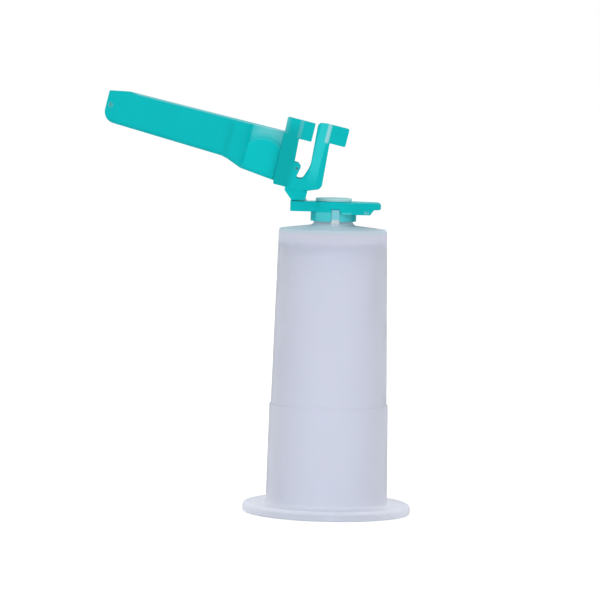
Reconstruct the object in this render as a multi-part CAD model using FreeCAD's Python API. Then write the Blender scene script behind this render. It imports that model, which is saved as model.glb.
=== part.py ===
import FreeCAD, Part
import math
import os

# A holder for blood collection tubes, standing on its open flanged end, with a hinged
# needle shield that lies open to the -X side. Millimetres, +Z up. The origin is the centre
# of the tube mouth, on the underside of the flange. The shield folds about an axis along Y.

# Tube holder: flange and barrel
flange_diameter = 32.0
flange_thickness = 1.8
flange_edge_radius = 0.8        # the rounded upper edge
flange_edge_chamfer = 0.35      # the lower edge
skirt_height = 20.7             # the wider lower stretch of the barrel, up to the step
skirt_step = 0.25               # how far it stands out at the step, each side
skirt_draft = 0.3               # how much wider it gets down to the flange, each side
barrel_foot_diameter = 22.1     # the upper stretch just above the step
barrel_top_diameter = 20.6      # at the shoulder
barrel_height = 54.1            # from the underside of the flange to the shoulder's rim
barrel_wall = 1.15
end_wall = 1.5
shoulder_rise = 0.75            # the shoulder is a shallow cone
shoulder_chamfer = 0.4

# Tube holder: neck and needle socket
neck_height = 2.55              # from the top of the shoulder to the seat of the collar
neck_radius = 3.6
neck_flare = 0.35
neck_flare_height = 0.8
spigot_radius = 3.0
lip_radius = 3.45               # the lip that the collar is snapped under
lip_height = 0.65
lip_chamfer = 0.25
socket_radius = 2.65            # crest radius of the needle thread
key_width = 1.6                 # the two ribs that stop the collar from turning
key_offset = 0.35               # how far both stand to the tongue's side of the axis
key_rise = 0.5                  # how far a rib reaches up into the plate

# Collar of the shield
plate_thickness = 1.9
plate_radius = 4.4
collar_clearance = 0.05         # between the collar and the neck, lip and ribs
ring_depth = 1.8
ring_wall = 0.7
land_reach = 8.25               # the hinge land, from the holder's axis
land_half_width = 3.0
land_corner_radius = 0.5
tongue_reach = 9.0              # the latch tongue, from the holder's axis
tongue_half_width = 4.4
tongue_corner_radius = 2.4
tongue_slope_start = 3.5        # where the upper face starts to fall
tongue_fall = 0.05              # how far it has fallen at the tip
tongue_tip_thickness = 1.3
pad_start = 1.5                 # the thick stretch under the tongue
pad_end = 6.9
pad_depth = 0.43
pad_ramp = 0.7                  # the slope from the pad up to the tip
core_out_length = 1.1           # the pocket that cores out the pad
core_out_margin = 0.15
core_out_wall = 0.5
core_out_depth = 0.9

# Living hinge between collar and shield
hinge_reach = 5.36              # from the holder's axis to the line that the film bends on
hinge_rise = 0.2                # that line above the land
film_half_thickness = 0.18
film_clearance = 0.05
film_half_width = 2.0
stop_gap = 0.12                 # between land and hinge block when the shield lies open
open_tilt = 12.87               # degrees that the open shield rises above the horizontal

# Needle shield, in its own axes: s from the hinge line to the tip, d from the hinge line
# to the open side, both square to Y
shield_length = 41.0
rim_depth = 11.66               # d of the open edge
tip_drop = 0.66                 # the open edge falls at the tip
tip_drop_start = 37.4
tip_wall = 0.9
tip_corner_radius = 2.3
channel_half_width = 3.0        # at its foot
tip_half_width = 2.85
channel_foot = 17.6             # s where the channel starts to widen
channel_bottom = 4.25           # d of its outer bottom there
tip_bottom = 5.2                # and at the tip
throat_half_width = 3.8         # the short stretch between channel and hood
throat_front = 16.4
throat_back = 13.6
throat_bottom_front = 4.0
throat_bottom_back = 2.9
hood_half_width = 4.6
hood_front = 13.1
hood_bottom_front = 2.85
hood_bottom_back = 2.2
edge_radius = 0.9               # the long lower edges of channel and hood
shield_wall = 0.75
shield_floor = 0.8
window_wall = 0.45              # the hood's sides are thinner above the thumb pads
thumb_pad_radius = 4.18
thumb_pad_s = 9.78
thumb_pad_d = 5.38
tip_mark_radius = 0.4           # small round sinks beside the tip
tip_mark_depth = 0.35
tip_mark_inset = 0.85
tip_mark_d = 8.4

# Frame at the foot of the shield, whose two sides straddle the collar when it is shut
frame_front = 7.1
frame_half_width = 5.75
frame_wall = 1.05
frame_floor = 0.8
frame_floor_end = 1.0           # the floor stops here, clear of the lip when shut
frame_bottom = 1.6
frame_rake = 0.3                # how far its front face leans back at the bottom
frame_corner_radius = 0.3
bulkhead = 1.0
front_arm_top = 14.47
front_arm_length = 2.45
front_tab_end = 1.7             # s of the free edge of the front tab
front_tab_bottom = 11.0
back_arm_top = 14.8
back_arm_front = 1.22
back_arm_back = -0.58
back_arm_radius = 1.0
back_tab_end = -4.73
back_tab_bottom = 11.58
back_tab_top = 15.02
back_tab_radius = 0.3
frame_back = -2.3
frame_back_top = -1.72          # s of the back edge where it meets the tab
frame_corner_d = 3.36
frame_heel_s = -1.87
frame_heel_d = 2.68
frame_toe_d = 1.9               # the sides' lower edge beside the hinge block
slot_front = 4.07               # the slot between the arms, up to the front tab
slot_front_foot = 3.8
slot_back_top = 1.0
slot_back = 0.65
slot_bend_d = 6.3               # where its back edge bends forward to the bottom
slot_bottom_back = 1.6
slot_bottom = 3.7
slot_radius = 2.0
slot_bend_radius = 6.0
hook_length = 1.4               # the small hook that stands in the slot
hook_foot_length = 0.9
hook_top = 6.5
hook_nose_d = 5.9
hook_radius = 0.3
hook_mark_radius = 0.3
hook_mark_depth = 0.4
hook_mark_drop = 0.4            # its centre below the nose
groove_width = 1.0              # grooves inside the arms, beside the tabs
groove_web = 0.35               # what they leave of the wall

# Hinge block under the frame
block_half_width = 2.2
block_back = 0.08
block_top = 1.65
block_toe = 2.6                 # s where its flat underside ends
block_front = 4.4
block_front_bottom = 0.88

# Heights and radii that follow from the sizes above
mouth_bore_radius = barrel_foot_diameter / 2 - barrel_wall
inner_top_radius = barrel_top_diameter / 2 - barrel_wall
ceiling = barrel_height - end_wall
shoulder_top = barrel_height + shoulder_rise
seat = shoulder_top + neck_height
plate_top = seat + plate_thickness
lip_bottom = plate_top + collar_clearance
lip_top = lip_bottom + lip_height
ring_inner_radius = neck_radius + collar_clearance
ring_outer_radius = ring_inner_radius + ring_wall
key_reach = ring_outer_radius
notch_half_width = key_width / 2 + collar_clearance
notch_top = seat + key_rise + collar_clearance
frame_inner = frame_half_width - frame_wall
hinge_z = plate_top + hinge_rise
far = 30.0                      # longer than anything that a cutter has to pass


def meridian(r, z):
    """A point of a turned section."""
    return FreeCAD.Vector(r, 0, z)


def plan(x, y):
    """A point of an outline seen from above."""
    return FreeCAD.Vector(x, y, 0)


def flank(s, d):
    """A point of an outline of the shield seen from the side."""
    return FreeCAD.Vector(-s, 0, d)


def rounded_corner(before, at, after, radius):
    """The start, middle and end of the arc that rounds one corner."""
    back = (before - at).normalize()
    ahead = (after - at).normalize()
    half_angle = back.getAngle(ahead) / 2
    room = 0.45 * min((before - at).Length, (after - at).Length)
    setback = min(radius / math.tan(half_angle), room)
    to_middle = setback / math.cos(half_angle) - setback * math.tan(half_angle)
    middle = at + (back + ahead).normalize() * to_middle
    return [at + back * setback, middle, at + ahead * setback]


def outline(points, place):
    """A closed wire. A third number in a point rounds its corner."""
    corners = [place(point[0], point[1]) for point in points]
    stretches = []
    for index, point in enumerate(points):
        at = corners[index]
        if len(point) == 3:
            after = corners[(index + 1) % len(points)]
            stretches.append(rounded_corner(corners[index - 1], at, after, point[2]))
        else:
            stretches.append([at])
    edges = []
    for index, stretch in enumerate(stretches):
        if len(stretch) == 3:
            edges.append(Part.Arc(*stretch).toShape())
        following = stretches[(index + 1) % len(stretches)][0]
        edges.append(Part.LineSegment(stretch[-1], following).toShape())
    return Part.Wire(edges)


def turned(points):
    """A solid of revolution about the holder's axis."""
    section = Part.Face(outline(points, meridian))
    return section.revolve(FreeCAD.Vector(0, 0, 0), FreeCAD.Vector(0, 0, 1), 360)


def cylinder(radius, bottom, top):
    """An upright cylinder on the holder's axis."""
    return Part.makeCylinder(radius, top - bottom, FreeCAD.Vector(0, 0, bottom))


def box(x, y, z):
    """A block between the pairs of limits x, y and z."""
    size = [limits[1] - limits[0] for limits in (x, y, z)]
    return Part.makeBox(*size, FreeCAD.Vector(x[0], y[0], z[0]))


def key_bar(half_width, reach, bottom, top):
    """A bar along Y through the places of both key ribs."""
    return box((key_offset - half_width, key_offset + half_width), (-reach, reach), (bottom, top))


def slab(points, place, half_width, inner=0.0):
    """An outline in the XZ plane made a slab across Y, or two slabs beyond y = inner."""
    face = Part.Face(outline(points, place))
    if inner == 0.0:
        face.translate(FreeCAD.Vector(0, -half_width, 0))
        return face.extrude(FreeCAD.Vector(0, 2 * half_width, 0))
    sides = []
    for side in (-1, 1):
        start = face.translated(FreeCAD.Vector(0, side * inner, 0))
        sides.append(start.extrude(FreeCAD.Vector(0, side * (half_width - inner), 0)))
    return sides[0].fuse(sides[1])


def rods(s, d, radius, half_width, inner):
    """Two round cutters along Y, from y = inner outwards on both sides of the shield."""
    sides = []
    for side in (-1, 1):
        start = FreeCAD.Vector(-s, side * inner, d)
        sides.append(Part.makeCylinder(radius, half_width - inner, start, FreeCAD.Vector(0, side, 0)))
    return sides[0].fuse(sides[1])


def make_tube_holder():
    """Flange, stepped barrel, shoulder and neck turned as one moulding, with two key ribs."""
    flange_radius = flange_diameter / 2
    skirt_top_radius = barrel_foot_diameter / 2 + skirt_step
    skin = [
        (0, 0),
        (flange_radius - flange_edge_chamfer, 0),
        (flange_radius, flange_edge_chamfer),
        (flange_radius, flange_thickness, flange_edge_radius),
        (skirt_top_radius + skirt_draft, flange_thickness),
        (skirt_top_radius, skirt_height),
        (barrel_foot_diameter / 2, skirt_height),
        (barrel_top_diameter / 2, barrel_height - shoulder_chamfer),
        (barrel_top_diameter / 2 - shoulder_chamfer, barrel_height),
        (neck_radius + neck_flare, shoulder_top),
        (neck_radius, shoulder_top + neck_flare_height),
        (neck_radius, seat),
        (spigot_radius, seat),
        (spigot_radius, lip_bottom),
        (lip_radius, lip_bottom),
        (lip_radius, lip_top - lip_chamfer),
        (lip_radius - lip_chamfer, lip_top),
        (0, lip_top),
    ]
    hollow = [
        (0, 0),
        (mouth_bore_radius, 0),
        (mouth_bore_radius, skirt_height),
        (inner_top_radius, ceiling),
        (0, ceiling),
    ]
    holder = turned(skin)
    ribs = key_bar(key_width / 2, key_reach, barrel_height, seat + key_rise)
    holder = holder.fuse(ribs).cut(turned(hollow))
    return holder.cut(cylinder(socket_radius, ceiling - end_wall, lip_top + end_wall))


def make_hinge_collar():
    """Plate with hinge land and latch tongue, and the ring that grips the neck."""
    plate = cylinder(plate_radius, seat, plate_top)
    land_outline = [
        (0, -land_half_width),
        (0, land_half_width),
        (-land_reach, land_half_width, land_corner_radius),
        (-land_reach, -land_half_width, land_corner_radius),
    ]
    land = Part.Face(outline(land_outline, plan))
    land.translate(FreeCAD.Vector(0, 0, seat))
    land = land.extrude(FreeCAD.Vector(0, 0, plate_thickness))
    tip_top = plate_top - tongue_fall
    tip_bottom_z = tip_top - tongue_tip_thickness
    ramp_end = pad_end + pad_ramp
    tongue_flank = [
        (0, seat),
        (pad_start, seat),
        (pad_start, seat - pad_depth),
        (pad_end, seat - pad_depth),
        (ramp_end, tip_bottom_z, pad_ramp / 2),
        (tongue_reach, tip_bottom_z, tongue_tip_thickness / 3),
        (tongue_reach, tip_top, tongue_tip_thickness / 2.5),
        (tongue_slope_start, plate_top),
        (0, plate_top),
    ]
    tongue = slab(tongue_flank, meridian, tongue_half_width)
    tongue_plan = [
        (0, -tongue_half_width),
        (tongue_reach, -tongue_half_width, tongue_corner_radius),
        (tongue_reach, tongue_half_width, tongue_corner_radius),
        (0, tongue_half_width),
    ]
    above = Part.Face(outline(tongue_plan, plan))
    above.translate(FreeCAD.Vector(0, 0, seat - ring_depth))
    tongue = tongue.common(above.extrude(FreeCAD.Vector(0, 0, ring_depth + plate_thickness)))
    ring = cylinder(ring_outer_radius, seat - ring_depth, seat)
    collar = plate.fuse([land, tongue, ring])
    core_out = box(
        (pad_end - core_out_margin - core_out_length, pad_end - core_out_margin),
        (core_out_wall - tongue_half_width, tongue_half_width - core_out_wall),
        (seat - pad_depth, seat - pad_depth + core_out_depth),
    )
    notch = key_bar(notch_half_width, far, seat - ring_depth, notch_top)
    neck = cylinder(ring_inner_radius, seat - ring_depth, seat)
    bore = cylinder(spigot_radius + collar_clearance, seat, plate_top)
    return collar.cut([core_out, notch, neck, bore]).removeSplitter()


def make_living_hinge():
    """The film along the hinge line: a web that stands on the land, with a round back."""
    root = box(
        (-hinge_reach - film_half_thickness, -hinge_reach + film_half_thickness),
        (-film_half_width, film_half_width),
        (plate_top, hinge_z),
    )
    start = FreeCAD.Vector(-hinge_reach, -film_half_width, hinge_z)
    back = Part.makeCylinder(film_half_thickness, 2 * film_half_width, start, FreeCAD.Vector(0, 1, 0))
    return root.fuse(back).removeSplitter()


def trough(stations, inset, floor, corner_radius):
    """A solid through rounded U sections, each at (s, half width, d of the bottom)."""
    sections = []
    for s, half_width, bottom in stations:
        section = [
            (-(half_width - inset), bottom + floor, corner_radius),
            (half_width - inset, bottom + floor, corner_radius),
            (half_width - inset, rim_depth + far),
            (-(half_width - inset), rim_depth + far),
        ]
        sections.append(outline(section, lambda y, d: FreeCAD.Vector(-s, y, d)))
    return Part.makeLoft(sections, True, True)


def shield_stations(tip_s):
    """Where the shield's section changes, from the frame to the tip."""
    share = (tip_s - channel_foot) / (shield_length - channel_foot)
    end_half_width = channel_half_width + share * (tip_half_width - channel_half_width)
    end_bottom = channel_bottom + share * (tip_bottom - channel_bottom)
    return [
        (frame_front - bulkhead, hood_half_width, hood_bottom_back),
        (frame_front, hood_half_width, hood_bottom_back),
        (hood_front, hood_half_width, hood_bottom_front),
        (throat_back, throat_half_width, throat_bottom_back),
        (throat_front, throat_half_width, throat_bottom_front),
        (channel_foot, channel_half_width, channel_bottom),
        (tip_s, end_half_width, end_bottom),
    ]


def make_shield_body():
    """Channel, throat and hood as one open trough with a closed tip."""
    body = trough(shield_stations(shield_length), 0.0, 0.0, edge_radius)
    body_flank = [
        (frame_front - bulkhead, -far),
        (frame_front - bulkhead, rim_depth),
        (tip_drop_start, rim_depth),
        (shield_length, rim_depth - tip_drop),
        (shield_length, tip_bottom, tip_corner_radius),
        (channel_foot, channel_bottom),
        (channel_foot, -far),
    ]
    body = body.common(slab(body_flank, flank, far))
    window = [
        (frame_front, thumb_pad_d),
        (frame_front, rim_depth + far),
        (hood_front, rim_depth + far),
        (hood_front, thumb_pad_d),
    ]
    window_inner = hood_half_width - shield_wall + window_wall
    windows = slab(window, flank, far, window_inner)
    pads = rods(thumb_pad_s, thumb_pad_d, thumb_pad_radius, far, window_inner)
    marks = rods(
        shield_length - tip_mark_inset,
        tip_mark_d,
        tip_mark_radius,
        far,
        tip_half_width - tip_mark_depth,
    )
    return body.cut([windows.cut(pads), marks])


def make_frame():
    """Two slotted side walls with latch tabs, a short floor and the bulkhead to the hood."""
    foot_front = frame_front - frame_rake
    rise = (rim_depth - frame_bottom) / (front_arm_top - frame_bottom)
    rim_front = foot_front + rise * frame_rake
    sides_flank = [
        (foot_front, frame_bottom, frame_corner_radius),
        (frame_front, front_arm_top, frame_corner_radius),
        (front_tab_end, front_arm_top),
        (front_tab_end, front_tab_bottom),
        (slot_front, front_tab_bottom),
        (slot_front_foot, hook_top),
        (slot_front_foot - hook_length / 2, hook_top, hook_radius),
        (slot_front_foot - hook_length, hook_nose_d, hook_radius),
        (slot_front_foot - hook_foot_length, slot_bottom, hook_radius),
        (slot_bottom_back, slot_bottom, slot_radius),
        (slot_back, slot_bend_d, slot_bend_radius),
        (slot_back_top, front_tab_bottom),
        (back_arm_front, back_arm_top, back_arm_radius),
        (back_arm_back, back_tab_top),
        (back_tab_end, back_tab_top),
        (back_tab_end, back_tab_bottom, back_tab_radius),
        (frame_back_top, back_tab_bottom),
        (frame_back, frame_corner_d),
        (frame_heel_s, frame_heel_d),
        (block_back, frame_toe_d),
        (block_front, frame_bottom),
    ]
    sides = slab(sides_flank, flank, frame_half_width, frame_inner)
    floor_flank = [
        (foot_front, frame_bottom, frame_corner_radius),
        (foot_front, frame_bottom + frame_floor),
        (frame_floor_end, frame_bottom + frame_floor),
        (frame_floor_end, frame_bottom),
    ]
    floor = slab(floor_flank, flank, frame_half_width)
    bulkhead_flank = [
        (foot_front, frame_bottom, frame_corner_radius),
        (rim_front, rim_depth),
        (frame_front - bulkhead, rim_depth),
        (frame_front - bulkhead, frame_bottom),
    ]
    wall = slab(bulkhead_flank, flank, frame_half_width)
    grooves = []
    for groove_front, groove_bottom in (
        (frame_front - front_arm_length, front_tab_bottom),
        (back_arm_back, back_tab_bottom),
    ):
        groove = [
            (groove_front, groove_bottom),
            (groove_front, back_tab_top + far),
            (groove_front - groove_width, back_tab_top + far),
            (groove_front - groove_width, groove_bottom),
        ]
        grooves.append(slab(groove, flank, frame_half_width - groove_web, frame_inner / 2))
    hook_mark = rods(
        slot_front_foot - hook_length / 2,
        hook_nose_d - hook_mark_drop,
        hook_mark_radius,
        far,
        frame_half_width - hook_mark_depth,
    )
    return sides.cut(grooves + [hook_mark]).fuse([floor, wall])


def make_hinge_block():
    """The block between frame and film; its underside lies on the land's level when open."""
    tilt = math.radians(open_tilt)

    def underside(s):
        """d of the flat that is level, stop_gap above the land, when the shield is open."""
        return (stop_gap - hinge_rise - s * math.sin(tilt)) / math.cos(tilt)

    block_flank = [
        (block_back, underside(block_back)),
        (block_back, block_top),
        (frame_floor_end, block_top),
        (frame_floor_end, frame_bottom + frame_floor),
        (block_front, frame_bottom + frame_floor),
        (block_front, block_front_bottom),
        (block_toe, underside(block_toe)),
    ]
    block = slab(block_flank, flank, block_half_width)
    start = FreeCAD.Vector(0, -far, 0)
    groove_radius = film_half_thickness + film_clearance
    return block.cut(Part.makeCylinder(groove_radius, 2 * far, start, FreeCAD.Vector(0, 1, 0)))


def make_needle_shield():
    """The whole shield, modelled lying level, then tilted and put on its hinge line."""
    shield = make_shield_body().fuse([make_frame(), make_hinge_block()])
    hollow = trough(shield_stations(shield_length - tip_wall), shield_wall, shield_floor, edge_radius / 3)
    shield = shield.cut(hollow).removeSplitter()
    shield.rotate(FreeCAD.Vector(0, 0, 0), FreeCAD.Vector(0, 1, 0), open_tilt)
    shield.translate(FreeCAD.Vector(-hinge_reach, 0, hinge_z))
    return shield


pieces = {
    "tube_holder": make_tube_holder(),
    "hinge_collar": make_hinge_collar(),
    "living_hinge": make_living_hinge(),
    "needle_shield": make_needle_shield(),
}

os.makedirs("parts", exist_ok=True)
for name, shape in pieces.items():
    shape.exportStep("parts/" + name + ".step")
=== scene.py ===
import math

import bmesh
import bpy
from mathutils import Matrix, Vector
from mathutils.geometry import intersect_point_line


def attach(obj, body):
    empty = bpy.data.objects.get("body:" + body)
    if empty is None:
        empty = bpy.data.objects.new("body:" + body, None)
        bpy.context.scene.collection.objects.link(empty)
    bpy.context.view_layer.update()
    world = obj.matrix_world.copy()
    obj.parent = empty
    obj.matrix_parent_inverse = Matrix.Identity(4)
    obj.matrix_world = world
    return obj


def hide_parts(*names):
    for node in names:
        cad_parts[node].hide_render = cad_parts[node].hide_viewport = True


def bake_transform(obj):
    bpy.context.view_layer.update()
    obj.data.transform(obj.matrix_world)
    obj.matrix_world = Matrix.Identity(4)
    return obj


# A tube holder with a hinged needle shield, dressed around its CAD frame. The bodies are
# "holder" (the frosted moulding and the teal collar on its neck) and "shield", which turns on
# the hinge film.

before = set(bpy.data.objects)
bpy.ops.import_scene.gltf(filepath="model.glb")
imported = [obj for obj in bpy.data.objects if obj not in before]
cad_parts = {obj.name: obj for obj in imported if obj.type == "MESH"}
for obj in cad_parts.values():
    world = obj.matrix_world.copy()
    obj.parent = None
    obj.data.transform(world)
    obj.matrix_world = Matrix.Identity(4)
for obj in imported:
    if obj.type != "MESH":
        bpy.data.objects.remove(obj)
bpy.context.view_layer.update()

MM = 0.001
MERGE = 0.001 * MM    # points nearer than this are one
NEAR = 0.01 * MM      # and a point within this of a place is at it

# Sizes of the holder as the solids have them; the thread's root and pitch are the scene's own
FLANGE_RADIUS = 16.0 * MM
FLANGE_THICKNESS = 1.8 * MM
SKIRT_TOP = 20.7 * MM
SKIRT_TOP_RADIUS = 11.3 * MM
SKIRT_FOOT_RADIUS = 11.6 * MM
BARREL_FOOT_RADIUS = 11.05 * MM
BARREL_TOP_RADIUS = 10.3 * MM
BARREL_TOP = 54.1 * MM
SHOULDER_TOP = 54.85 * MM
FLARE_TOP = 55.65 * MM
SEAT = 57.4 * MM
PLATE_TOP = 59.3 * MM
LIP_BOTTOM = 59.35 * MM
LIP_TOP = 60.0 * MM
FLARE_RADIUS = 3.95 * MM
NECK_RADIUS = 3.6 * MM
SPIGOT_RADIUS = 3.0 * MM
LIP_RADIUS = 3.45 * MM
THREAD_CREST = 2.65 * MM
THREAD_ROOT = 2.85 * MM
THREAD_PITCH = 1.4 * MM
MOUTH_RADIUS = 9.9 * MM
INNER_TOP_RADIUS = 9.15 * MM
CEILING = 52.6 * MM
RIB_HALF_WIDTH = 0.8 * MM
RIB_OFFSET = 0.35 * MM
RIB_REACH = 4.35 * MM
RIB_TOP = 57.9 * MM
RIB_SINK = 0.12 * MM    # how far a rib is sunk into the spigot
RIB_ROUND = 0.15 * MM
THREAD_SINK = 0.06 * MM
THREAD_TURNS = 3
THREAD_STEPS = 48
BARREL_STEPS = 128

# The hinge line, and the tilt of the open shield
HINGE_REACH = 5.36 * MM
HINGE_Z = 59.5 * MM
OPEN_TILT = math.radians(12.87)
FILM_HALF_WIDTH = 2.0 * MM

# How the edges of the copied solids are rounded
MOULD_ROUND = 0.12 * MM
COPY_MERGE = 0.002 * MM
FLAT = math.radians(1)       # facets that meet flatter than this are one face
SHARP = math.radians(28)     # edges sharper than this are rounded
IN_LINE = -0.8               # cosine between an edge and one that carries it on
FACING = -0.4                # cosine between an edge and one across the face from it
SAME_CORNER = 12             # points of an outline this far along it are off the corner's arc
LONGEST_STRETCH = 8          # edges in a gap that the rounding bridges
COLLAR_INSIDE = 4.6 * MM     # the collar's edges nearer the axis than this stay sharp
TIP_CORNER_X = -42.3 * MM    # the tip's lower corners, which are round in the solid already
TIP_CORNER_Z = 74.4 * MM

# Plastics
IOR = 1.49

# Studio and camera
WORLD_LIGHT = 0.72    # how strongly the world lights the object
WORLD_SEEN = 1.0      # and how white it is where it is seen
LAMP_SIZE = 0.6
FLOOR_RADIUS = 6.0
CAMERA_PLACE = (-5.95 * MM, -665.0 * MM, 82.5 * MM)
CAMERA_PITCH = math.radians(3.623)
CAMERA_ROLL = math.radians(1.43)
LENS = 210.0
SENSOR = 36.0


def srgb(red, green, blue):
    """A colour as a screen shows it, made linear for a shader."""
    linear = []
    for level in (red, green, blue):
        share = level / 255
        linear.append(share / 12.92 if share <= 0.04045 else ((share + 0.055) / 1.055) ** 2.4)
    return (*linear, 1.0)


class Value:
    """A shader socket that can be written in a sum."""

    def __init__(self, finish, socket):
        self.finish = finish
        self.socket = socket

    def worked(self, operation, first, second=None):
        """The result of one Math node."""
        terms = [first] if second is None else [first, second]
        return self.finish.node("ShaderNodeMath", {"operation": operation}, *terms)

    def __add__(self, other):
        return self.worked("ADD", self, other)

    def __radd__(self, other):
        return self.worked("ADD", other, self)

    def __sub__(self, other):
        return self.worked("SUBTRACT", self, other)

    def __rsub__(self, other):
        return self.worked("SUBTRACT", other, self)

    def __mul__(self, other):
        return self.worked("MULTIPLY", self, other)

    def __rmul__(self, other):
        return self.worked("MULTIPLY", other, self)

    def __abs__(self):
        return self.worked("ABSOLUTE", self)

    def root(self):
        """The square root."""
        return self.worked("SQRT", self)

    def higher(self, other):
        """The larger of this and another."""
        return self.worked("MAXIMUM", self, other)

    def lower(self, other):
        """The smaller of this and another."""
        return self.worked("MINIMUM", self, other)

    def between(self, low, high):
        """0 below low and 1 above high, with a soft step between; reversed if low is over high."""
        settings = {"interpolation_type": "SMOOTHSTEP"}
        flip = low > high
        limits = {"From Min": min(low, high), "From Max": max(low, high)}
        step = self.finish.node("ShaderNodeMapRange", settings, Value=self, **limits)
        return 1 - step if flip else step

    def band(self, low, high, soft):
        """1 between low and high, fading to 0 over soft outside them."""
        return self.between(low - soft, low) * self.between(high + soft, high)


class Finish:
    """One procedural material, built node by node."""

    def __init__(self, name):
        self.material = bpy.data.materials.new(name)
        self.material.use_nodes = True
        self.tree = self.material.node_tree
        self.tree.nodes.clear()
        self.place = self.node("ShaderNodeTexCoord", output="Object")
        axes = self.node("ShaderNodeSeparateXYZ", {}, self.place, output=None)
        self.x, self.y, self.z = (Value(self, axes.outputs[axis]) for axis in "XYZ")

    def node(self, kind, settings=None, *terms, output=0, **sockets):
        """Adds a node: its settings, then the values or links of its sockets."""
        made = self.tree.nodes.new(kind)
        for name, value in (settings or {}).items():
            setattr(made, name, value)
        for key, term in list(enumerate(terms)) + list(sockets.items()):
            if isinstance(term, Value):
                self.tree.links.new(term.socket, made.inputs[key])
            else:
                made.inputs[key].default_value = term
        return made if output is None else Value(self, made.outputs[output])

    def noise(self, scale, detail, stretch=None):
        """Noise on the object's own coordinates, in waves per metre."""
        place = self.place
        if stretch:
            place = self.node("ShaderNodeMapping", {}, place, Scale=stretch)
        settings = {"noise_dimensions": "3D"}
        sockets = {"Vector": place, "Scale": scale, "Detail": detail, "Roughness": 0.5}
        return self.node("ShaderNodeTexNoise", settings, **sockets)

    def mix(self, share, low, high):
        """A colour between two, by share."""
        made = self.tree.nodes.new("ShaderNodeMix")
        made.data_type = "RGBA"
        sockets = [socket for socket in made.inputs if socket.enabled]
        for socket, term in zip(sockets, (share, low, high)):
            if isinstance(term, Value):
                self.tree.links.new(term.socket, socket)
            else:
                socket.default_value = term
        result = [socket for socket in made.outputs if socket.enabled][0]
        return Value(self, result)

    def bump(self, height, distance, strength):
        """A normal from a height map; distance is in metres."""
        sockets = {"Height": height, "Distance": distance, "Strength": strength}
        return self.node("ShaderNodeBump", {}, **sockets)

    def surface(self, shader):
        """Ends the tree in the material's output."""
        self.node("ShaderNodeOutputMaterial", {}, output=None, Surface=shader)
        return self.material


def frosted_plastic():
    """Milky polypropylene: thin walls let light through, and the solid neck and shoulder less;
    with painted shade on the flange and painted light on the neck, the key rib and the lip.
    """
    finish = Finish("frosted_plastic")
    cloud = finish.noise(160, detail=3)
    grain = finish.noise(9000, detail=2)
    flow = finish.noise(900, detail=2, stretch=(1, 1, 0.06))
    roughness = 0.40 + 0.12 * grain + 0.05 * flow
    relief = finish.bump(grain + 0.4 * flow, 0.02 * MM, 0.5)
    walls = finish.mix(cloud, srgb(234, 237, 247), srgb(239, 241, 250))
    # Painted shade: the flange's colour is a little darker than the walls above it.
    flange = finish.z.between(2.3 * MM, 1.7 * MM)
    walls = finish.mix(flange, walls, srgb(224, 228, 240))
    shared = {"Roughness": roughness, "Normal": relief, "IOR": IOR}
    wall = finish.node("ShaderNodeBsdfPrincipled", {}, **{
        **shared,
        "Base Color": walls,
        "Transmission Weight": 0.9,
        "Specular IOR Level": 0.5,
    })
    # Painted highlight: a pale teal strip on the key rib, where it shows through the collar's
    # notch.
    beside_rib = abs(finish.x - RIB_OFFSET).between(0.95 * MM, 0.75 * MM)
    rib = beside_rib * finish.z.between(55.6 * MM, 56.2 * MM)
    barrel_end = finish.mix(cloud, srgb(229, 232, 248), srgb(233, 236, 251))
    shoulder = finish.mix(cloud, srgb(216, 233, 244), srgb(221, 237, 248))
    shoulder_up = finish.z.between(53.2 * MM, 53.7 * MM)
    # Painted light: the neck and flare are lighter, against the shade under the collar's ring.
    neck_painted_light = finish.z.between(55.0 * MM, 55.6 * MM)
    # Painted light: the lip is pale teal, standing in for the plate's teal showing through it, and
    # lightened.
    lip_painted_teal = finish.z.between(58.0 * MM, 59.0 * MM)
    tinted = finish.mix(shoulder_up, barrel_end, shoulder)
    tinted = finish.mix(neck_painted_light, tinted, srgb(246, 252, 255))
    tinted = finish.mix(rib, tinted, srgb(150, 240, 253))
    tinted = finish.mix(lip_painted_teal, tinted, srgb(210, 252, 255))
    solid = finish.node("ShaderNodeBsdfPrincipled", {}, **{
        **shared,
        "Base Color": tinted,
        "Transmission Weight": 0.25,
        "Specular IOR Level": 0.4,
    })
    solid_up = finish.z.between(50.8 * MM, 52.2 * MM)
    return finish.surface(finish.node("ShaderNodeMixShader", {}, solid_up, wall, solid))


def along_shield(finish):
    """Distances from the hinge line towards the tip, and square to that towards the rim."""
    x = finish.x + HINGE_REACH
    z = finish.z - HINGE_Z
    run = z * math.sin(OPEN_TILT) - x * math.cos(OPEN_TILT)
    rise = x * math.sin(OPEN_TILT) + z * math.cos(OPEN_TILT)
    return run, rise


def teal_plastic(name, wall_light):
    """Teal polypropylene, dyed through: paler where the wall is thin, deeper where it is thick,
    with painted light, painted highlights and painted shade in places.
    """
    finish = Finish(name)
    cloud = finish.noise(220, detail=3)
    grain = finish.noise(7000, detail=2)
    pale, deep, bright = wall_light(finish, cloud)
    colour = finish.mix(cloud, srgb(0, 203, 206), srgb(0, 209, 213))
    # Bright, deep and pale: thin and thick walls, and painted light, painted highlights and
    # painted shade where the masks put them.
    colour = finish.mix(bright, colour, srgb(0, 240, 243))
    colour = finish.mix(deep, colour, srgb(0, 176, 178))
    colour = finish.mix(pale, colour, srgb(198, 244, 250))
    roughness = 0.34 + 0.10 * grain
    relief = finish.bump(grain, 0.01 * MM, 0.4)
    sockets = {
        "Base Color": colour,
        "Roughness": roughness,
        "Normal": relief,
        "IOR": IOR,
        "Transmission Weight": 0.12,
        "Specular IOR Level": 0.04,
    }
    return finish.surface(finish.node("ShaderNodeBsdfPrincipled", {}, **sockets))


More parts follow.
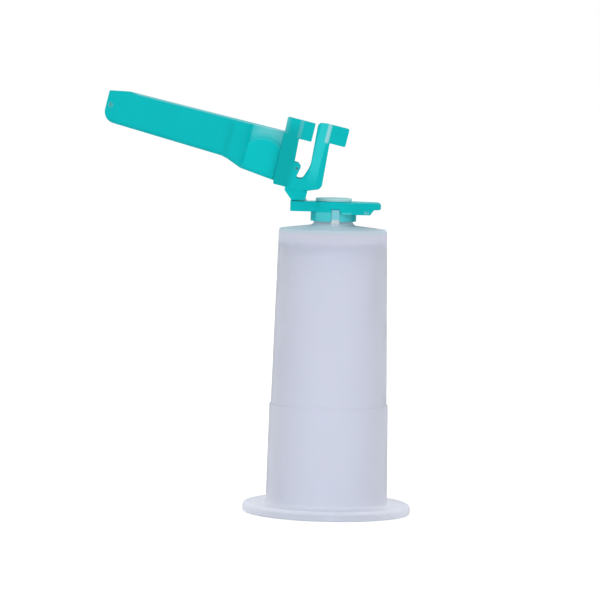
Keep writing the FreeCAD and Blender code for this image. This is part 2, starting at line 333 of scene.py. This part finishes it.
def within(along, up, middle, radius, soft):
    """1 inside a circle and 0 outside it, from two distances and the circle's middle."""
    across = along - middle[0]
    above = up - middle[1]
    return (across * across + above * above).root().between(radius + soft, radius)


def beside_film(finish):
    """1 where the hinge's film is, and around its two roots."""
    along = abs(finish.x + HINGE_REACH).between(1.1 * MM, 0.6 * MM)
    return along * abs(finish.y).between(FILM_HALF_WIDTH + 0.35 * MM, FILM_HALF_WIDTH)


def shield_light(finish, cloud):
    """How pale, deep and bright the shield is, and where.

    Pale: the hood's windows and the webs beside the tabs, with painted highlights along the
    channel's top edge, along the step at the hood's edge, on the two pin marks at the tip and
    by the hook, and at the film's root. Deep: the thicker front arm with painted shade on it, and
    painted shade on the step of the throat. Bright: painted light on the hinge block, painted
    highlights on the back arm, and the hood a little lighter.
    """
    run, rise = along_shield(finish)
    outer = abs(finish.y).between(4.2 * MM, 4.4 * MM)
    hood = run.band(7.2 * MM, 13.0 * MM, 0.15 * MM)
    pad = within(run, rise, (9.78 * MM, 5.38 * MM), 3.6 * MM, 2.2 * MM)
    window = hood * outer * (1 - pad) * rise.between(5.2 * MM, 9.0 * MM)
    window = window * run.between(14.5 * MM, 10.5 * MM)
    front_web = run.band(3.95 * MM, 4.4 * MM, 0.25 * MM) * rise.between(10.9 * MM, 11.4 * MM)
    back_web = run.band(-1.3 * MM, -0.85 * MM, 0.25 * MM) * rise.between(11.3 * MM, 11.8 * MM)
    patchy = 0.55 + 0.75 * cloud
    outermost = abs(finish.y).between(5.0 * MM, 5.2 * MM)
    webs = (0.5 * front_web + 2.6 * back_web) * patchy * outermost
    # Painted highlight along the top edge of the channel's walls.
    rim_highlight = rise.between(11.3 * MM, 11.6 * MM) * run.band(8.0 * MM, 35.0 * MM, 2.0 * MM)
    # Painted highlight: a pale line along the step at the hood's edge, broken up by the noise.
    step_edge_highlight = run.band(12.75 * MM, 13.25 * MM, 0.25 * MM) * rise.band(5.5 * MM, 10.0 * MM, 1.0 * MM)
    step_edge_highlight = step_edge_highlight * cloud.between(0.42, 0.58)
    arm_light = run.band(-0.8 * MM, 0.5 * MM, 0.4 * MM) * rise.between(2.5 * MM, 7.0 * MM)
    # Painted highlights: a pale spot on the pin mark at the tip, and one by the hook.
    tip_mark_highlight = within(run, rise, (40.15 * MM, 8.4 * MM), 0.42 * MM, 0.1 * MM)
    hook_mark_highlight = within(run, rise, (3.1 * MM, 5.5 * MM), 0.32 * MM, 0.1 * MM)
    # Painted highlight at the film's root on the shield, against the shade of the gap under the
    # hinge block.
    foot = finish.z.between(HINGE_Z + 0.3 * MM, HINGE_Z) * beside_film(finish)
    pale = 0.55 * window + 0.26 * webs + 0.40 * rim_highlight + 0.20 * step_edge_highlight
    pale = pale + 0.05 * arm_light + 0.3 * tip_mark_highlight + 0.2 * hook_mark_highlight + 0.5 * foot
    # Deeper teal on the front arm's lower part: partly its thicker overlap, partly painted shade.
    thick_front_arm_and_shade = run.band(4.6 * MM, 7.2 * MM, 1.6 * MM) * (1 - hood)
    thick_front_arm_and_shade = thick_front_arm_and_shade * rise.between(14.5 * MM, 11.5 * MM)
    # Painted shade: a darker band on the sloping step of the throat.
    step = run.band(16.5 * MM, 17.3 * MM, 0.3 * MM) * rise.band(5.0 * MM, 10.5 * MM, 0.6 * MM)
    # Painted light: the recessed hinge block is brightened against the shade it sits in; arm_light
    # adds painted highlights on the back arm.
    hinge_block = rise.between(1.75 * MM, 1.55 * MM)
    deep = thick_front_arm_and_shade.higher(0.4 * step) * (1 - hinge_block)
    bright = hinge_block.higher(0.26 * hood).higher(0.5 * arm_light)
    return pale.lower(0.7), 0.6 * deep, bright


def collar_light(finish, cloud):
    """How pale, deep and bright the collar is, and where; the hinge film shares it.

    Pale: the thin front of the ring, the film with a painted highlight on it, and a painted
    highlight on the latch's pad. Deep: the tongue. Bright: the ring's front, and the rest a
    little.
    """
    front = abs(finish.x).between(3.7 * MM, 3.1 * MM)
    ring = finish.z.between(SEAT + 0.1 * MM, SEAT - 0.2 * MM) * front
    # The thin film is paler, with a painted highlight on it and on the land's top beside it,
    # against the shade of the gap.
    film = finish.z.between(PLATE_TOP - 0.2 * MM, PLATE_TOP) * beside_film(finish)
    # Painted highlight: a pale spot on the latch's pad.
    pad = finish.x.band(5.9 * MM, 6.6 * MM, 0.3 * MM) * finish.z.between(SEAT + 0.5 * MM, SEAT)
    pale = 0.17 * ring + 0.6 * film + 0.35 * pad * cloud.between(0.3, 0.6)
    tongue = finish.x.between(1.0 * MM, 5.0 * MM)
    return pale.lower(0.7), 0.25 * tongue, (0.5 * ring).higher(0.12)


def floor_finish():
    """White as the picture's ground, and still darkened by the object's shadow."""
    finish = Finish("white_floor")
    rays = finish.node("ShaderNodeLightPath", {}, output=None)
    seen = Value(finish, rays.outputs["Is Camera Ray"])
    for kind in ("Is Glossy Ray", "Is Transmission Ray"):
        seen = seen.higher(Value(finish, rays.outputs[kind]))
    lift = finish.mix(seen, (0, 0, 0, 1), (0.42, 0.42, 0.42, 1))
    sockets = {
        "Base Color": (0.86, 0.86, 0.86, 1),
        "Roughness": 0.9,
        "Specular IOR Level": 0.0,
        "Emission Color": lift,
        "Emission Strength": 1.0,
    }
    return finish.surface(finish.node("ShaderNodeBsdfPrincipled", {}, **sockets))


def deselect():
    """Leaves nothing selected."""
    if bpy.context.mode != "OBJECT":
        bpy.ops.object.mode_set(mode="OBJECT")
    bpy.ops.object.select_all(action="DESELECT")


def activate(piece):
    """Makes one object the only selected one."""
    deselect()
    piece.select_set(True)
    bpy.context.view_layer.objects.active = piece


def dress(piece, material):
    """Gives an object one material."""
    piece.data.materials.clear()
    piece.data.materials.append(material)


def select_where(kind, test):
    """Selects the vertices, edges or faces that pass a test, and nothing else."""
    bpy.ops.mesh.select_all(action="DESELECT")
    bpy.ops.mesh.select_mode(type={"verts": "VERT", "edges": "EDGE", "faces": "FACE"}[kind])
    mesh = bmesh.from_edit_mesh(bpy.context.edit_object.data)
    for item in getattr(mesh, kind):
        if test(item):
            item.select_set(True)
    mesh.select_flush_mode()
    bmesh.update_edit_mesh(bpy.context.edit_object.data)


def radius_of(point):
    """How far a point is from the holder's axis."""
    return math.hypot(point.x, point.y)


def on_ring(radius, height):
    """A test for the edges of the ring at one radius and height."""

    def test(edge):
        return all(
            abs(radius_of(corner.co) - radius) < NEAR and abs(corner.co.z - height) < NEAR
            for corner in edge.verts
        )

    return test


def start_edit(name):
    """A new object with one vertex, at the origin, in edit mode."""
    deselect()
    bpy.ops.mesh.primitive_plane_add(size=MM)
    piece = bpy.context.active_object
    piece.name = piece.data.name = name
    bpy.ops.object.mode_set(mode="EDIT")
    bpy.ops.mesh.select_mode(type="VERT")
    bpy.ops.mesh.select_all(action="SELECT")
    bpy.ops.mesh.merge(type="CENTER")
    return piece


def merge_all(distance=MERGE):
    """Merges the points that lie together, and leaves all selected."""
    bpy.ops.mesh.select_all(action="SELECT")
    bpy.ops.mesh.remove_doubles(threshold=distance)
    bpy.ops.mesh.select_all(action="SELECT")


def finish_skin():
    """Turns all faces outwards."""
    bpy.ops.mesh.select_all(action="SELECT")
    bpy.ops.mesh.normals_make_consistent(inside=False)


def draw_chain(points):
    """Moves the vertex to the first point and extrudes it through the others."""
    bpy.ops.transform.translate(value=points[0])
    for before, after in zip(points, points[1:]):
        step = Vector(after) - Vector(before)
        bpy.ops.mesh.extrude_vertices_move(TRANSFORM_OT_translate={"value": step})


def turned(name, section, rounds, steps):
    """A closed section of (radius, height) spun about the axis, with some of its rings rounded."""
    piece = start_edit(name)
    draw_chain([(radius, 0, height) for radius, height in section + section[:1]])
    merge_all()
    bpy.ops.mesh.spin(steps=steps, angle=math.tau, center=(0, 0, 0), axis=(0, 0, 1))
    merge_all()
    finish_skin()
    for radius, height, offset, segments in rounds:
        select_where("edges", on_ring(radius, height))
        bpy.ops.mesh.bevel(offset=offset, segments=segments, affect="EDGES", offset_type="OFFSET")
    bpy.ops.object.mode_set(mode="OBJECT")
    return piece


def make_tube_holder():
    """The frosted moulding: flange, stepped barrel, shoulder, neck, key ribs, lip and socket."""
    section = [
        (MOUTH_RADIUS, 0),
        (FLANGE_RADIUS, 0),
        (FLANGE_RADIUS, FLANGE_THICKNESS),
        (SKIRT_FOOT_RADIUS, FLANGE_THICKNESS),
        (SKIRT_TOP_RADIUS, SKIRT_TOP),
        (BARREL_FOOT_RADIUS, SKIRT_TOP),
        (BARREL_TOP_RADIUS, BARREL_TOP),
        (FLARE_RADIUS, SHOULDER_TOP),
        (NECK_RADIUS, FLARE_TOP),
        (NECK_RADIUS, SEAT),
        (SPIGOT_RADIUS, SEAT),
        (SPIGOT_RADIUS, LIP_BOTTOM),
        (LIP_RADIUS, LIP_BOTTOM),
        (LIP_RADIUS, LIP_TOP),
        (THREAD_ROOT, LIP_TOP),
        (THREAD_ROOT, CEILING),
        (INNER_TOP_RADIUS, CEILING),
        (MOUTH_RADIUS, SKIRT_TOP),
    ]
    # Radius and height of a ring's edge, then the rounding and its segments
    rounds = [
        (MOUTH_RADIUS, 0, 0.35 * MM, 3),
        (FLANGE_RADIUS, 0, 0.35 * MM, 4),
        (FLANGE_RADIUS, FLANGE_THICKNESS, 0.8 * MM, 7),
        (SKIRT_FOOT_RADIUS, FLANGE_THICKNESS, 0.6 * MM, 5),
        (SKIRT_TOP_RADIUS, SKIRT_TOP, 0.12 * MM, 3),
        (BARREL_TOP_RADIUS, BARREL_TOP, 0.45 * MM, 5),
        (FLARE_RADIUS, SHOULDER_TOP, 0.5 * MM, 4),
        (NECK_RADIUS, FLARE_TOP, 0.3 * MM, 3),
        (LIP_RADIUS, LIP_TOP, 0.25 * MM, 4),
        (LIP_RADIUS, LIP_BOTTOM, 0.08 * MM, 2),
        (THREAD_ROOT, LIP_TOP, 0.12 * MM, 3),
        (THREAD_ROOT, CEILING, 0.25 * MM, 3),
        (INNER_TOP_RADIUS, CEILING, 0.8 * MM, 5),
    ]
    piece = turned("tube_moulding", section, rounds, BARREL_STEPS)
    for side in (-1, 1):
        unite(piece, make_key_rib(side))
    return piece


def block(name, low, high):
    """A box between two corners, left in edit mode with all of it selected."""
    deselect()
    bpy.ops.mesh.primitive_cube_add(size=1)
    piece = bpy.context.active_object
    piece.name = piece.data.name = name
    bpy.ops.object.mode_set(mode="EDIT")
    bpy.ops.mesh.select_all(action="SELECT")
    span = Vector(high) - Vector(low)
    middle = (Vector(high) + Vector(low)) / 2
    bpy.ops.transform.resize(value=span)
    bpy.ops.transform.translate(value=middle)
    return piece


def make_key_rib(side):
    """One of the two ribs on the neck that keep the collar from turning."""
    reach = sorted((side * (SPIGOT_RADIUS - RIB_SINK), side * RIB_REACH))
    low = (RIB_OFFSET - RIB_HALF_WIDTH, reach[0], BARREL_TOP)
    high = (RIB_OFFSET + RIB_HALF_WIDTH, reach[1], RIB_TOP)
    piece = block("key_rib", low, high)
    outer = side * RIB_REACH
    select_where("edges", lambda edge: all(abs(v.co.y - outer) < NEAR for v in edge.verts))
    bpy.ops.mesh.bevel(offset=RIB_ROUND, segments=2, affect="EDGES")
    bpy.ops.object.mode_set(mode="OBJECT")
    return piece


def unite(piece, other):
    """Joins another piece into this one as one closed skin."""
    activate(piece)
    union = piece.modifiers.new("union", "BOOLEAN")
    union.operation = "UNION"
    union.solver = "EXACT"
    union.object = other
    bpy.ops.object.modifier_apply(modifier=union.name)
    bpy.data.objects.remove(other)


def make_socket_thread():
    """The thread that holds the needle's hub: one ridge swept along a helix."""
    piece = start_edit("socket_thread")
    foot = THREAD_ROOT + THREAD_SINK
    bottom = CEILING + 1.2 * MM
    ridge = [
        (foot, 0, bottom),
        (THREAD_CREST, 0, bottom + 0.35 * MM),
        (THREAD_CREST, 0, bottom + 0.55 * MM),
        (foot, 0, bottom + 0.9 * MM),
        (foot, 0, bottom),
    ]
    draw_chain(ridge)
    merge_all()
    bpy.ops.object.mode_set(mode="OBJECT")
    helix = piece.modifiers.new("helix", "SCREW")
    helix.axis = "Z"
    helix.screw_offset = THREAD_PITCH
    helix.iterations = THREAD_TURNS
    helix.steps = helix.render_steps = THREAD_STEPS
    bpy.ops.object.modifier_apply(modifier=helix.name)
    bpy.ops.object.mode_set(mode="EDIT")
    bpy.ops.mesh.select_all(action="SELECT")
    bpy.ops.mesh.fill_holes(sides=len(ridge))
    finish_skin()
    bpy.ops.object.mode_set(mode="OBJECT")
    return piece


def has_room(edge):
    """Whether the faces beside an edge are wide enough to round it, with no thin strip there."""
    room = 2.2 * MOULD_ROUND
    if edge.calc_length() < MOULD_ROUND or len(edge.link_loops) != 2:
        return False
    for loop in edge.link_loops:
        start, end = loop.vert.co, loop.link_loop_next.vert.co
        loops = list(loop.face.loops)
        place = loops.index(loop)
        for step in range(SAME_CORNER, len(loops) - SAME_CORNER):
            corner = loops[(place + step) % len(loops)].vert.co
            if min((corner - start).length, (corner - end).length) < room:
                return False
        along = (end - start).normalized()
        middle = (start + end) / 2
        for other in loop.face.loops:
            first, last = other.vert.co, other.link_loop_next.vert.co
            beside = other in (loop.link_loop_prev, loop, loop.link_loop_next)
            if beside or (last - first).normalized().dot(along) > FACING:
                continue
            near, share = intersect_point_line(middle, first, last)
            near = first.lerp(last, min(1, max(0, share)))
            if (near - middle).length < room:
                return False
    return True


def carried_on(edge, corner):
    """The sharp edge that carries an edge on in line past one of its ends, if there is one."""
    way = (edge.other_vert(corner).co - corner.co).normalized()
    for other in corner.link_edges:
        onward = (other.other_vert(corner).co - corner.co).normalized()
        sharp = other is not edge and other.calc_face_angle(0) > SHARP
        if sharp and onward.dot(way) < IN_LINE:
            return other
    return None


def bridge_gaps(mesh):
    """Chooses short stretches between chosen edges too, so that no rounding breaks off there."""
    for edge in mesh.edges:
        if edge.select or edge.calc_face_angle(0) < SHARP:
            continue
        stretch, ends = {edge}, 0
        for corner in edge.verts:
            here = carried_on(edge, corner)
            while here and not here.select and here not in stretch:
                stretch.add(here)
                corner = here.other_vert(corner)
                here = carried_on(here, corner) if len(stretch) < LONGEST_STRETCH else None
            ends += bool(here and here.select)
        if ends == 2 and sum(part.calc_length() for part in stretch) < 3 * MOULD_ROUND:
            for part in stretch:
                part.select = True


def softened(node, name, open_to_view):
    """A copy of a CAD node, merged, with its edges in open view rounded as a mould leaves them."""
    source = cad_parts[node]
    piece = bpy.data.objects.new(name, source.data.copy())
    bpy.context.scene.collection.objects.link(piece)
    activate(piece)
    bpy.ops.mesh.customdata_custom_splitnormals_clear()
    bpy.ops.object.mode_set(mode="EDIT")
    merge_all(COPY_MERGE)
    bpy.ops.mesh.dissolve_limited(angle_limit=FLAT)

    def to_round(edge):
        sharp = edge.calc_face_angle(0) > SHARP
        return sharp and open_to_view(edge.verts[0].co) and has_room(edge)

    select_where("edges", to_round)
    mesh = bmesh.from_edit_mesh(piece.data)
    bridge_gaps(mesh)
    bmesh.update_edit_mesh(piece.data)
    bpy.ops.mesh.bevel(offset=MOULD_ROUND, segments=2, affect="EDGES", clamp_overlap=False)
    bpy.ops.object.mode_set(mode="OBJECT")
    smooth(piece, 35)
    return piece


def smooth(piece, angle):
    """Smooth shading up to an angle in degrees, with the broad faces kept flat."""
    activate(piece)
    bpy.ops.object.shade_smooth_by_angle(angle=math.radians(angle))
    weighted = piece.modifiers.new("even_faces", "WEIGHTED_NORMAL")
    weighted.keep_sharp = True
    bpy.ops.object.modifier_apply(modifier=weighted.name)


def make_hinge_film():
    """The living hinge: a thin web from the land into the hinge block, wider at both roots."""
    piece = start_edit("hinge_film")
    # The web's section in millimetres about the hinge line: back side up, then front side down
    web = [
        (-0.36, -0.22), (-0.22, -0.14), (-0.17, 0.0), (-0.16, 0.14),
        (0.10, 0.20), (0.17, 0.10), (0.17, -0.02), (0.22, -0.14), (0.36, -0.22),
    ]
    front = -FILM_HALF_WIDTH
    points = [(x * MM - HINGE_REACH, front, z * MM + HINGE_Z) for x, z in web]
    draw_chain(points + points[:1])
    merge_all()
    bpy.ops.mesh.edge_face_add()
    across = (0, 2 * FILM_HALF_WIDTH, 0)
    bpy.ops.mesh.extrude_region_move(TRANSFORM_OT_translate={"value": across})
    finish_skin()
    bpy.ops.object.mode_set(mode="OBJECT")
    return piece


def light_studio():
    """A plain white room: an even world and two broad soft lamps."""
    world = bpy.data.worlds.new("studio")
    bpy.context.scene.world = world
    world.use_nodes = True
    tree = world.node_tree
    tree.nodes.clear()
    rays = tree.nodes.new("ShaderNodeLightPath")
    seen = rays.outputs["Is Camera Ray"]
    for kind in ("Is Transmission Ray", "Is Glossy Ray"):
        either = tree.nodes.new("ShaderNodeMath")
        either.operation = "MAXIMUM"
        tree.links.new(seen, either.inputs[0])
        tree.links.new(rays.outputs[kind], either.inputs[1])
        seen = either.outputs[0]
    level = tree.nodes.new("ShaderNodeMapRange")
    level.inputs["To Min"].default_value = WORLD_LIGHT
    level.inputs["To Max"].default_value = WORLD_SEEN
    tree.links.new(seen, level.inputs["Value"])
    sky = tree.nodes.new("ShaderNodeBackground")
    sky.inputs["Color"].default_value = (1, 1, 1, 1)
    tree.links.new(level.outputs["Result"], sky.inputs["Strength"])
    output = tree.nodes.new("ShaderNodeOutputWorld")
    tree.links.new(sky.outputs[0], output.inputs["Surface"])
    middle = Vector((0, 0, 40 * MM))
    for name, place, energy in (
        ("key_lamp", (-0.5, -0.8, 0.9), 2.6),
        ("fill_lamp", (0.8, -0.5, 0.6), 1.2),
    ):
        light = bpy.data.lights.new(name, "AREA")
        light.energy = energy
        light.size = LAMP_SIZE
        lamp = bpy.data.objects.new(name, light)
        lamp.location = place
        aim = middle - Vector(place)
        lamp.rotation_euler = aim.to_track_quat("-Z", "Y").to_euler()
        bpy.context.scene.collection.objects.link(lamp)


def set_floor():
    """A plain pale floor under the object."""
    deselect()
    bpy.ops.mesh.primitive_circle_add(vertices=96, radius=FLOOR_RADIUS, fill_type="NGON")
    floor = bpy.context.active_object
    floor.name = "floor"
    dress(floor, floor_finish())


def set_camera():
    """The camera, at the photograph's place and tilt."""
    data = bpy.data.cameras.new("camera")
    data.lens = LENS
    data.sensor_width = SENSOR
    data.clip_start = 0.01
    data.clip_end = 50
    camera = bpy.data.objects.new("camera", data)
    bpy.context.scene.collection.objects.link(camera)
    camera.location = CAMERA_PLACE
    turn = Matrix.Rotation(math.pi / 2 - CAMERA_PITCH, 3, "X")
    roll = Matrix.Rotation(CAMERA_ROLL, 3, "Z")
    camera.rotation_euler = (turn @ roll).to_euler()
    bpy.context.scene.camera = camera


set_camera()
light_studio()
set_floor()

frosted = frosted_plastic()
shield_teal = teal_plastic("teal_plastic_shield", shield_light)
collar_teal = teal_plastic("teal_plastic_collar", collar_light)

holder = make_tube_holder()
smooth(holder, 35)
dress(holder, frosted)
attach(holder, "holder")
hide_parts("tube_holder")

thread = make_socket_thread()
smooth(thread, 30)
dress(thread, frosted)
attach(thread, "holder")

shield = softened(
    "needle_shield",
    "shield_moulding",
    lambda corner: corner.x > TIP_CORNER_X or corner.z > TIP_CORNER_Z,
)
dress(shield, shield_teal)
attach(shield, "shield")
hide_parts("needle_shield")

collar = softened(
    "hinge_collar",
    "collar_moulding",
    lambda corner: radius_of(corner) > COLLAR_INSIDE,
)
dress(collar, collar_teal)
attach(collar, "holder")
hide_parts("hinge_collar")

film = make_hinge_film()
smooth(film, 50)
dress(film, collar_teal)
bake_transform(film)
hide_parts("living_hinge")

bpy.context.scene.view_settings.view_transform = "Standard"
